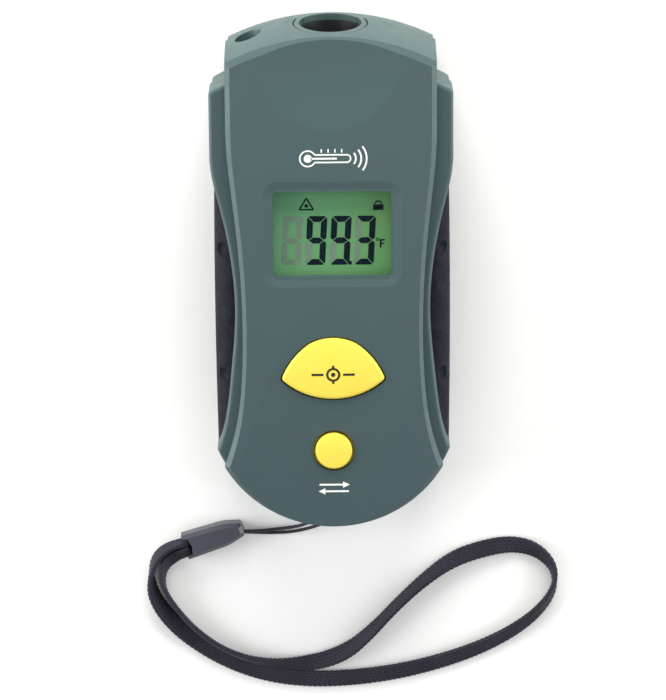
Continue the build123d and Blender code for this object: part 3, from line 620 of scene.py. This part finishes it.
ink_dark = printed_ink("ink_dark", (0.022, 0.016, 0.010))


def dress(piece, look):
    """Gives the piece this material alone."""
    slots = piece.material_slots
    if not slots:
        piece.data.materials.append(look.material)
    for slot in slots:
        slot.material = look.material


for part in frame["record"]["subparts"]:
    dress(nodes[part["node"]], looks[part["material_slot"]])
dress(wrist_string, looks["strap_cord"])
dress(wrist_band, looks["strap_braid"])


# ---------------------------------------------------------------- measure button
BUTTON_RIM = 0.85 * MM
BUTTON_DOME = 0.35 * MM
BUTTON_FLANGE = 1.2 * MM
FLANGE_Z = (23.6 * MM, 24.9 * MM)
STEM_FOOT_Z = 20.9 * MM
STEM_Y = -20.0 * MM
STEM_R = 2.2 * MM
STEM_POINTS = 32
STEM_OVERLAP = 0.3 * MM
EDGE_POINTS = 180
RIM_STEPS = 8
RIM_INSET = 0.75
CROWN_STEPS = 14
CROWN_SPACING = 0.9
SPINE_SHARE = 0.55
SPINE_WELD = 0.12 * MM
INWARD_PASSES = 6
TOP_WELD = 0.002 * MM
TOP_TOLERANCE = 0.01 * MM


def top_outline(node):
    """Edge of a node's flat top, as points in order, and the height of that top."""
    mesh = node.data
    top = max(v.co.z for v in mesh.vertices)
    solid = bmesh.new()
    solid.from_mesh(mesh)
    bmesh.ops.remove_doubles(solid, verts=solid.verts, dist=TOP_WELD)
    solid.verts.index_update()
    flat = {f for f in solid.faces if all(abs(v.co.z - top) < TOP_TOLERANCE for v in f.verts)}
    links = {}
    for edge in solid.edges:
        if sum(f in flat for f in edge.link_faces) == 1:
            a, b = edge.verts
            links.setdefault(a.index, []).append(b)
            links.setdefault(b.index, []).append(a)
    solid.verts.ensure_lookup_table()
    start = next(iter(links))
    order, before, here = [], None, solid.verts[start]
    while True:
        order.append(here.co.copy())
        ahead = [v for v in links[here.index] if v is not before]
        before, here = here, ahead[0]
        if here.index == start:
            break
    points = np.array([(p.x, p.y) for p in order])
    solid.free()
    return points, top


def closed_steps(points, count):
    """Closed outline resampled to evenly spaced points."""
    looped = np.vstack([points, points[:1]])
    along = np.concatenate([[0], np.cumsum(np.linalg.norm(np.diff(looped, axis=0), axis=1))])
    stops = np.linspace(0, along[-1], count, endpoint=False)
    return np.stack([np.interp(stops, along, looped[:, k]) for k in range(2)], axis=1)


def inward_directions(edge, middle):
    """Smoothed direction into the outline at each of its points."""
    tangent = unit(np.roll(edge, -1, axis=0) - np.roll(edge, 1, axis=0))
    inward = np.stack([-tangent[:, 1], tangent[:, 0]], axis=1)
    if np.sum((middle - edge) * inward) < 0:
        inward = -inward
    for _ in range(INWARD_PASSES):
        inward = unit(np.roll(inward, 1, axis=0) + 2 * inward + np.roll(inward, -1, axis=0))
    return inward


def make_measure_button():
    """Crowned button with a rounded rim, its hidden flange and its stem."""
    outline, top = top_outline(nodes["measure_button"])
    count = EDGE_POINTS
    edge = closed_steps(outline, count)
    middle = (edge.min(0) + edge.max(0)) / 2
    half = (edge.max(0) - edge.min(0)) / 2
    inward = inward_directions(edge, middle)
    spine = np.stack([edge[:, 0] * SPINE_SHARE, np.full(count, middle[1])], axis=1)

    def crown(place):
        """How far the dome has fallen from its middle at each place."""
        reach = ((place - middle) / half) ** 2
        return -BUTTON_DOME * reach.sum(axis=1)

    rings = []
    for offset, z in ((-BUTTON_FLANGE, FLANGE_Z[0]), (-BUTTON_FLANGE, FLANGE_Z[1]), (0, FLANGE_Z[1])):
        rings.append(np.column_stack([edge + inward * offset, np.full(count, z)]))
    for i in range(RIM_STEPS + 1):
        angle = math.pi / 2 * i / RIM_STEPS
        inset = BUTTON_RIM * (1 - math.cos(angle)) * RIM_INSET
        place = edge + inward * inset
        drop = BUTTON_RIM * (1 - math.sin(angle))
        rings.append(np.column_stack([place, top + crown(place) - drop]))
    inner = rings[-1][:, :2]
    for i in range(1, CROWN_STEPS + 1):
        share = (i / CROWN_STEPS) ** CROWN_SPACING
        place = inner * (1 - share) + spine * share
        rings.append(np.column_stack([place, top + crown(place)]))
    points = np.vstack(rings)
    faces = ring_faces(len(rings), count, capped=False)
    faces.append(tuple(range(count)))
    stem_points, stem_faces = stem(len(points))
    piece = new_piece("measure_button_cap", np.vstack([points, stem_points]), faces + stem_faces)
    last = (len(rings) - 1) * count
    seal_spine(piece, [last + i for i in sorted(range(count), key=lambda i: spine[i, 0])])
    piece.data.shade_smooth()
    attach(piece, "measure")
    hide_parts("measure_button")
    dress(piece, looks["button_yellow"])
    return piece


def stem(first):
    """Round stem under the button, as points and faces."""
    ring = circle(0, STEM_Y, STEM_R, STEM_POINTS)
    levels = (STEM_FOOT_Z, FLANGE_Z[0] + STEM_OVERLAP)
    points = [(x, y, z) for z in levels for x, y in ring]
    return np.array(points), ring_faces(2, STEM_POINTS, first)


def seal_spine(piece, spine_points):
    """Closes the slit along the middle of the crown by joining the points that meet there."""
    mesh = bmesh.new()
    mesh.from_mesh(piece.data)
    mesh.verts.ensure_lookup_table()
    bmesh.ops.remove_doubles(mesh, verts=[mesh.verts[i] for i in spine_points], dist=SPINE_WELD)
    holes = [e for e in mesh.edges if e.is_boundary]
    bmesh.ops.holes_fill(mesh, edges=holes, sides=0)
    bmesh.ops.recalc_face_normals(mesh, faces=mesh.faces)
    mesh.to_mesh(piece.data)
    mesh.free()


measure_cap = make_measure_button()


# ---------------------------------------------------------------- display figures
# The display's figures and the printed marks are drawn in millimetres; slabs and Print turn them to metres.
PANEL_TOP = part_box("lcd_panel")[1].z
INK_LIFT = 0.03 * MM
FAINT_LIFT = 0.6 * INK_LIFT
DIGIT_W = 4.45
DIGIT_H = 11.15
DIGIT_Y = 3.0
FIRST_DIGIT_X = -11.45
DIGIT_PITCH = 5.4
DIGIT_SLANT = 0.055
STROKE = 1.35
STROKE_TIP = 0.5
STROKE_SHOULDER = 0.55
SEGMENT_GAP = 0.13
CORNER_CUT = 0.42
POINT_X = 3.95
POINT_UP = 0.42
POINT_R = 0.45
FIGURES = ("", "9", "9", "3")
LIT = {"9": "abcdfg", "3": "abcdg", "": ""}


def segment_shapes():
    """The seven strokes of a digit, as outlines in the digit's own box."""
    w, h, t, g, k, tip = DIGIT_W, DIGIT_H, STROKE, SEGMENT_GAP, CORNER_CUT, STROKE_TIP
    m = h / 2
    top = [(g + k, h), (w - g - k, h), (w - g - k / 2, h - k / 2), (w - t - g, h - t), (t + g, h - t),
           (g + k / 2, h - k / 2)]
    upper_left = [(0, m + STROKE_SHOULDER), (tip, m + g), (t, m + t / 2 + g), (t, h - t - g),
                  (k / 2, h - g - k / 2), (0, h - g - k)]
    middle = [(tip + g, m), (t + g, m + t / 2), (w - t - g, m + t / 2), (w - tip - g, m),
              (w - t - g, m - t / 2), (t + g, m - t / 2)]
    across = [(w - x, y) for x, y in upper_left]
    return {
        "a": top, "f": upper_left, "g": middle, "b": across,
        "e": [(x, h - y) for x, y in upper_left], "c": [(x, h - y) for x, y in across],
        "d": [(x, h - y) for x, y in top],
    }


def slabs(name, outlines, low, high, look):
    """One piece of thin closed plates with these outlines, between two heights in metres."""
    points, faces = [], []
    for outline in outlines:
        first, size = len(points), len(outline)
        for z in (low, high):
            points += [(x * MM, y * MM, z) for x, y in outline]
        faces += ring_faces(2, size, first)
    piece = new_piece(name, points, faces, smooth=False)
    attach(piece, "housing")
    dress(piece, look)
    return piece


def digits():
    """Lit and unlit strokes of the four figures, and the lit decimal point."""
    shapes = segment_shapes()
    lit, unlit = [], []
    for number, figure in enumerate(FIGURES):
        left = FIRST_DIGIT_X + DIGIT_PITCH * number
        for name, outline in shapes.items():
            placed = [(left + x + DIGIT_SLANT * y, DIGIT_Y + y) for x, y in outline]
            (lit if name in LIT[figure] else unlit).append(placed)
    lit.append(circle(POINT_X, DIGIT_Y + POINT_UP, POINT_R))
    return lit, unlit


def bar(x0, y0, x1, y1, width):
    """Straight stroke from one point to another."""
    length = math.hypot(x1 - x0, y1 - y0)
    nx, ny = -(y1 - y0) / length * width / 2, (x1 - x0) / length * width / 2
    return [(x0 + nx, y0 + ny), (x1 + nx, y1 + ny), (x1 - nx, y1 - ny), (x0 - nx, y0 - ny)]


def arc_bars(x, y, radius, start, end, width, steps):
    """Strokes that follow an arc, angles in degrees."""
    turns = [math.radians(start + (end - start) * i / steps) for i in range(steps + 1)]
    spots = [(x + radius * math.cos(a), y + radius * math.sin(a)) for a in turns]
    return [bar(*a, *b, width) for a, b in zip(spots, spots[1:])]


def beam_icon():
    """Triangle with a dot in it."""
    x, top, foot, half, stroke = -5.64, 18.2, 15.62, 1.56, 0.34
    apex, left, right = (x, top), (x - half, foot), (x + half, foot)
    edges = [bar(*start, *end, stroke) for start, end in ((apex, left), (left, right), (right, apex))]
    return edges + [circle(x, 16.45, 0.42)]


def padlock_icon():
    """Small closed padlock."""
    x, y, half, low, high = 10.3, 16.1, 1.15, 0.7, 0.6
    body = [(x - half, y - low), (x + half, y - low), (x + half, y + high), (x - half, y + high)]
    return [body] + arc_bars(x, y + low, 0.68, 0, 180, 0.32, 8)


def unit_icon():
    """Degree sign and the letter F."""
    stem_x, stem_foot, stem_top, lean = 10.72, 6.85, 8.75, 0.15
    arm_x, arm_y, middle_y = 10.75, 8.6, 7.8
    return arc_bars(10.15, 8.72, 0.28, 0, 360, 0.22, 10) + [
        bar(stem_x, stem_foot, stem_x + lean, stem_top, 0.4),
        bar(arm_x, arm_y, arm_x + 1.0, arm_y, 0.36),
        bar(arm_x, middle_y, arm_x + 0.8, middle_y, 0.32),
    ]


lit_strokes, unlit_strokes = digits()
icons = beam_icon() + padlock_icon() + unit_icon()
for name, outlines, lift, look in (
    ("display_figures", lit_strokes, INK_LIFT, display_dark),
    ("display_unlit_figures", unlit_strokes, FAINT_LIFT, display_faint),
    ("display_icons", icons, INK_LIFT, display_dark),
):
    slabs(name, outlines, PANEL_TOP - INK_LIFT, PANEL_TOP + lift, look)


# ---------------------------------------------------------------- printed marks
RAY_START_Z = 40 * MM
PRINT_SINK = 0.08 * MM
PRINT_RISE = 0.035 * MM
PLATE_LENGTH = 1.2
PLATE_DEGREES = 12


class Print:
    """Thin ink laid on a surface seen from above, in plates short enough to follow its curve."""

    def __init__(self, surface):
        mesh = surface.data
        self.tree = BVHTree.FromPolygons([v.co for v in mesh.vertices], [p.vertices for p in mesh.polygons])
        self.points = []
        self.faces = []

    def height(self, x, y):
        """Height of the surface at this place."""
        return self.tree.ray_cast(Vector((x * MM, y * MM, RAY_START_Z)), Vector((0, 0, -1)))[0].z

    def plate(self, outline):
        """Closed plate on the surface with this outline."""
        first, size = len(self.points), len(outline)
        for lift in (-PRINT_SINK, PRINT_RISE):
            self.points += [(x * MM, y * MM, self.height(x, y) + lift) for x, y in outline]
        self.faces += ring_faces(2, size, first)

    def line(self, x0, y0, x1, y1, width):
        """Straight stroke."""
        steps = max(1, int(math.hypot(x1 - x0, y1 - y0) / PLATE_LENGTH))
        stops = [(x0 + (x1 - x0) * i / steps, y0 + (y1 - y0) * i / steps) for i in range(steps + 1)]
        for here, there in zip(stops, stops[1:]):
            self.plate(bar(*here, *there, width))

    def arc(self, x, y, radius, start, end, width):
        """Stroke that follows an arc, angles in degrees."""
        steps = max(4, int(abs(end - start) / PLATE_DEGREES))
        for outline in arc_bars(x, y, radius, start, end, width, steps):
            self.plate(outline)

    def finish(self, name, look, body):
        """Makes one piece of the plates, on this body."""
        piece = new_piece(name, self.points, self.faces, smooth=False)
        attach(piece, body)
        dress(piece, look)


def print_face_mark():
    """A lying thermometer with warmth waves, above the display."""
    ink = Print(nodes["front_shell"])
    y, bulb_x, bulb_r, tube_r, tube_end, stroke = 27.85, -5.2, 1.75, 0.85, 3.4, 0.34
    opening = math.degrees(math.asin(tube_r / bulb_r))
    ink.arc(bulb_x, y, bulb_r, opening, 360 - opening, stroke)
    tube_start = bulb_x + bulb_r * math.cos(math.radians(opening))
    ink.line(tube_start, y + tube_r, tube_end, y + tube_r, stroke)
    ink.line(tube_start, y - tube_r, tube_end, y - tube_r, stroke)
    ink.arc(tube_end, y, tube_r, -90, 90, stroke)
    ink.plate(circle(bulb_x, y, 0.9))
    ink.line(bulb_x + 0.6, y, 1.2, y, 0.42)
    first_tick, tick_pitch, tick_foot, tick_top = -2.2, 1.5, y + 1.35, y + 2.15
    for i in range(4):
        x = first_tick + tick_pitch * i
        ink.line(x, tick_foot, x, tick_top, 0.3)
    wave_radii, wave_spread = (2.0, 3.2, 4.4), 38
    for radius in wave_radii:
        ink.arc(tube_end, y, radius, -wave_spread, wave_spread, 0.38)
    ink.finish("face_pictogram", ink_white, "housing")


def print_measure_mark():
    """An aiming mark on the measure button."""
    ink = Print(measure_cap)
    y, ring_r, dot_r, stroke = -21.3, 1.35, 0.5, 0.5
    ink.arc(0, y, ring_r, 0, 360, stroke)
    ink.plate(circle(0, y, dot_r))
    for side in (-1, 1):
        ink.line(side * 2.2, y, side * 4.8, y, 0.52)
        ink.line(0, y + side * 1.2, 0, y + side * 2.1, stroke)
    ink.finish("measure_pictogram", ink_dark, "measure")


def print_mode_mark():
    """Two opposed arrows under the mode button."""
    ink = Print(nodes["front_shell"])
    centre_y, half_gap, tail_x, neck_x, barb_x, tip_x, half_head = -48.15, 0.78, 3.3, 2.2, 2.0, 3.5, 0.75
    for side in (-1, 1):
        y = centre_y + side * half_gap
        ink.line(-side * tail_x, y, side * neck_x, y, 0.42)
        ink.plate([(side * barb_x, y + half_head), (side * tip_x, y), (side * barb_x, y - half_head)])
    ink.finish("mode_pictogram", ink_white, "housing")


print_face_mark()
print_measure_mark()
print_mode_mark()


# ---------------------------------------------------------------- floor and light
FLOOR_HALF = 3.0
WORLD_STRENGTH = 0.52
LAMP_TARGET = Vector((0, 0, 0))
WHITE = (1, 1, 1)
WARM_WHITE = (1, 0.99, 0.88)


def add_floor():
    """Plain white table under the thermometer."""
    half = FLOOR_HALF
    floor = new_piece("floor", [(-half, -half, 0), (half, -half, 0), (half, half, 0), (-half, half, 0)],
                      [(0, 1, 2, 3)], smooth=False)
    look = Look("floor_white", Base_Color=(0.97, 0.97, 0.97), Roughness=0.9, Specular_IOR_Level=0.1)
    dress(floor, look)


def add_light(name, place, size, power, colour=WHITE, glare=True):
    """Soft square lamp that looks at the thermometer; one without glare has no reflection in a face."""
    data = bpy.data.lights.new(name, "AREA")
    data.energy = power
    data.size = size
    data.color = colour
    lamp = bpy.data.objects.new(name, data)
    lamp.location = place
    lamp.rotation_euler = (LAMP_TARGET - Vector(place)).to_track_quat("-Z", "Y").to_euler()
    lamp.visible_glossy = glare
    bpy.context.scene.collection.objects.link(lamp)


def add_world():
    """Even white light from all round."""
    world = bpy.data.worlds.new("studio")
    world.use_nodes = True
    background = world.node_tree.nodes["Background"]
    background.inputs["Color"].default_value = (1, 1, 1, 1)
    background.inputs["Strength"].default_value = WORLD_STRENGTH
    bpy.context.scene.world = world
    bpy.context.scene.view_settings.view_transform = "Standard"


add_floor()
add_light("lamp_left", (-0.8, 0.05, 0.22), size=0.6, power=8.5)
add_light("lamp_right", (0.8, 0.05, 0.22), size=0.6, power=6)
add_light("lamp_top", (0, 0.95, 0.24), size=0.7, power=18, colour=WARM_WHITE, glare=False)
add_world()
